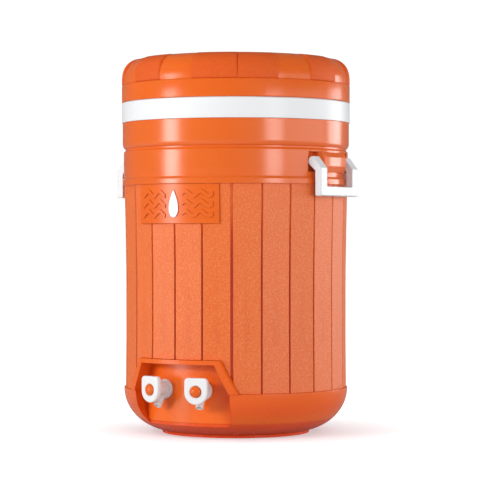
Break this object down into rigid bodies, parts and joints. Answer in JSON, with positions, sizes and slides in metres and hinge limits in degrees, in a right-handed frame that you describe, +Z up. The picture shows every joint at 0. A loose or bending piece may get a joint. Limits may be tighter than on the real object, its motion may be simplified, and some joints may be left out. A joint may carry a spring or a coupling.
{
  "type": "insulated beverage dispenser",
  "caption": "Round insulated drinks dispenser with a staved wall, a screw lid, two swinging carrying handles and push-button taps in a hooded recess at the front of its base.",
  "frame": {"origin": "on the body's axis, at the level of the foot ring's underside, which is the floor", "axes": "+Z up along the body's axis, the taps face -Y, the handles are at +X and -X"},
  "size_m": [0.361, 0.35, 0.5628],
  "materials": {
    "orange_shell": "satin",
    "orange_buttons": "gloss",
    "white_tank": "satin",
    "white_fittings": "satin",
    "foam": "matte",
    "seals": "matte",
    "steel": "satin"
  },
  "bodies": {
    "base": {"outer_shell": "orange_shell", "name_plate": "orange_shell", "base_bowl": "orange_shell", "tap_housing": "orange_shell", "inner_tank": "white_tank", "foam_insulation": "foam", "pivot_pin_left": "steel", "pivot_pin_right": "steel", "tap_body_left": "white_fittings", "stem_oring_left": "seals", "tap_washer_left": "seals", "tap_nut_left": "white_fittings", "tap_spring_left": "steel", "tap_body_right": "white_fittings", "stem_oring_right": "seals", "tap_washer_right": "seals", "tap_nut_right": "white_fittings", "tap_spring_right": "steel"},
    "right_bail": {"handle_right": "white_fittings"},
    "left_bail": {"handle_left": "white_fittings"},
    "left_plunger": {"tap_button_left": "orange_buttons", "tap_stem_left": "white_fittings", "tap_seal_left": "seals"},
    "right_plunger": {"tap_button_right": "orange_buttons", "tap_stem_right": "white_fittings", "tap_seal_right": "seals"},
    "lid_carrier": {"lid_gasket": "seals"},
    "lid": {"lid_shell": "orange_shell", "lid_foam": "foam", "lid_liner": "white_tank"}
  },
  "joints": [
    {"name": "right_handle_swing", "type": "hinge", "parent": "base", "child": "right_bail", "pos_m": [0.164, 0, 0.4045], "axis": [0, -1, 0], "range_deg": [0, 105]},
    {"name": "left_handle_swing", "type": "hinge", "parent": "base", "child": "left_bail", "pos_m": [-0.164, 0, 0.4045], "axis": [0, 1, 0], "range_deg": [0, 105]},
    {"name": "left_button_press", "type": "slide", "parent": "base", "child": "left_plunger", "axis": [0.225, 0.9744, 0], "range_m": [0, 0.005], "stiffness_N_per_m": 300, "springref_m": -0.01, "deforming": ["tap_spring_left"]},
    {"name": "right_button_press", "type": "slide", "parent": "base", "child": "right_plunger", "axis": [-0.225, 0.9744, 0], "range_m": [0, 0.005], "stiffness_N_per_m": 300, "springref_m": -0.01, "deforming": ["tap_spring_right"]},
    {"name": "lid_rise", "type": "slide", "parent": "base", "child": "lid_carrier", "axis": [0, 0, 1], "range_m": [0, 0.096]},
    {"name": "lid_turn", "type": "hinge", "parent": "lid_carrier", "child": "lid", "pos_m": [0, 0, 0.51], "axis": [0, 0, 1], "range_deg": [0, 720]}
  ],
  "couplings": [
    {"joint": "lid_rise", "follows": "lid_turn", "m_per_rad": 0.0076394}
  ]
}
